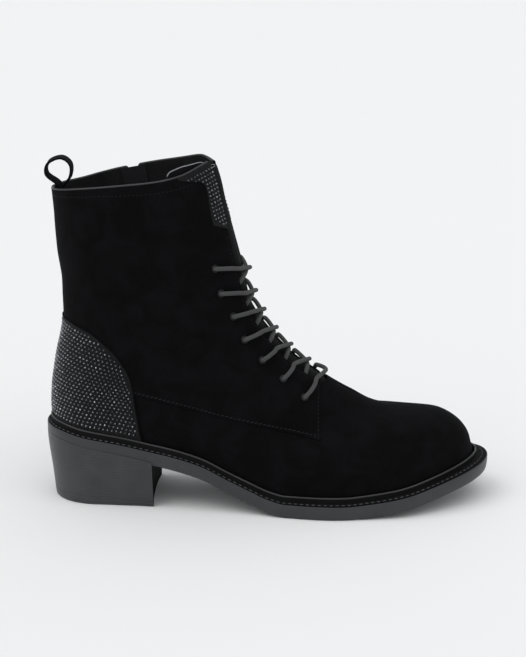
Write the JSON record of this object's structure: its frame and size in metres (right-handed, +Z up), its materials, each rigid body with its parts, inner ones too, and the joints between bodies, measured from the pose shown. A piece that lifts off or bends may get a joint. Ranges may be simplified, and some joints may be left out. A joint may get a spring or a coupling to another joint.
{
  "type": "ankle boot",
  "caption": "Black suede lace-up ankle boot with a block heel, a welted rubber sole, stone-set heel counter and front panels, a heel pull loop and an inner zip with a swinging pull tab.",
  "frame": {"origin": "on the floor under the middle of the boot's box", "axes": "+X to the toe, +Y to the inner side, +Z up"},
  "size_m": [0.2774, 0.0986, 0.2171],
  "materials": {
    "suede": "black suede with a soft nap",
    "stone_cloth": "dark cloth set with rows of small clear cut stones",
    "lining_leather": "smooth black leather, soft sheen",
    "welt_rubber": "moulded rubber welt with a stitched groove",
    "sole_rubber": "satin dark grey moulded rubber",
    "eyelet_metal": "black lacquered metal",
    "lace_cord": "round braided cord, dark grey",
    "zip_metal": "black zip teeth",
    "zip_cloth": "woven black zip tape",
    "slider_metal": "polished nickel-plated zinc"
  },
  "bodies": {
    "root": {"upper": "suede", "counter": "stone_cloth", "front_panel_lateral": "stone_cloth", "front_panel_medial": "stone_cloth", "tongue": "lining_leather", "insole": "lining_leather", "pull_loop": "suede", "welt": "welt_rubber", "outsole": "sole_rubber", "heel_block": "sole_rubber", "eyelet_lateral_1": "eyelet_metal", "eyelet_lateral_2": "eyelet_metal", "eyelet_lateral_3": "eyelet_metal", "eyelet_lateral_4": "eyelet_metal", "eyelet_lateral_5": "eyelet_metal", "eyelet_lateral_6": "eyelet_metal", "eyelet_lateral_7": "eyelet_metal", "eyelet_medial_1": "eyelet_metal", "eyelet_medial_2": "eyelet_metal", "eyelet_medial_3": "eyelet_metal", "eyelet_medial_4": "eyelet_metal", "eyelet_medial_5": "eyelet_metal", "eyelet_medial_6": "eyelet_metal", "eyelet_medial_7": "eyelet_metal", "lace_crossing_1": "lace_cord", "lace_crossing_2": "lace_cord", "lace_crossing_3": "lace_cord", "lace_crossing_4": "lace_cord", "lace_crossing_5": "lace_cord", "lace_crossing_6": "lace_cord", "lace_bar": "lace_cord", "zip_teeth": "zip_metal", "zip_tape": "zip_cloth", "zip_slider": "slider_metal"},
    "pull_tab": {"zip_pull": "slider_metal"}
  },
  "joints": [
    {"name": "pull_tab_swing", "type": "hinge", "parent": "root", "child": "pull_tab", "pos_m": [-0.08179, 0.03337, 0.18813], "axis": [0.984, 0.0157, 0.1775], "range_deg": [0, 160]}
  ]
}
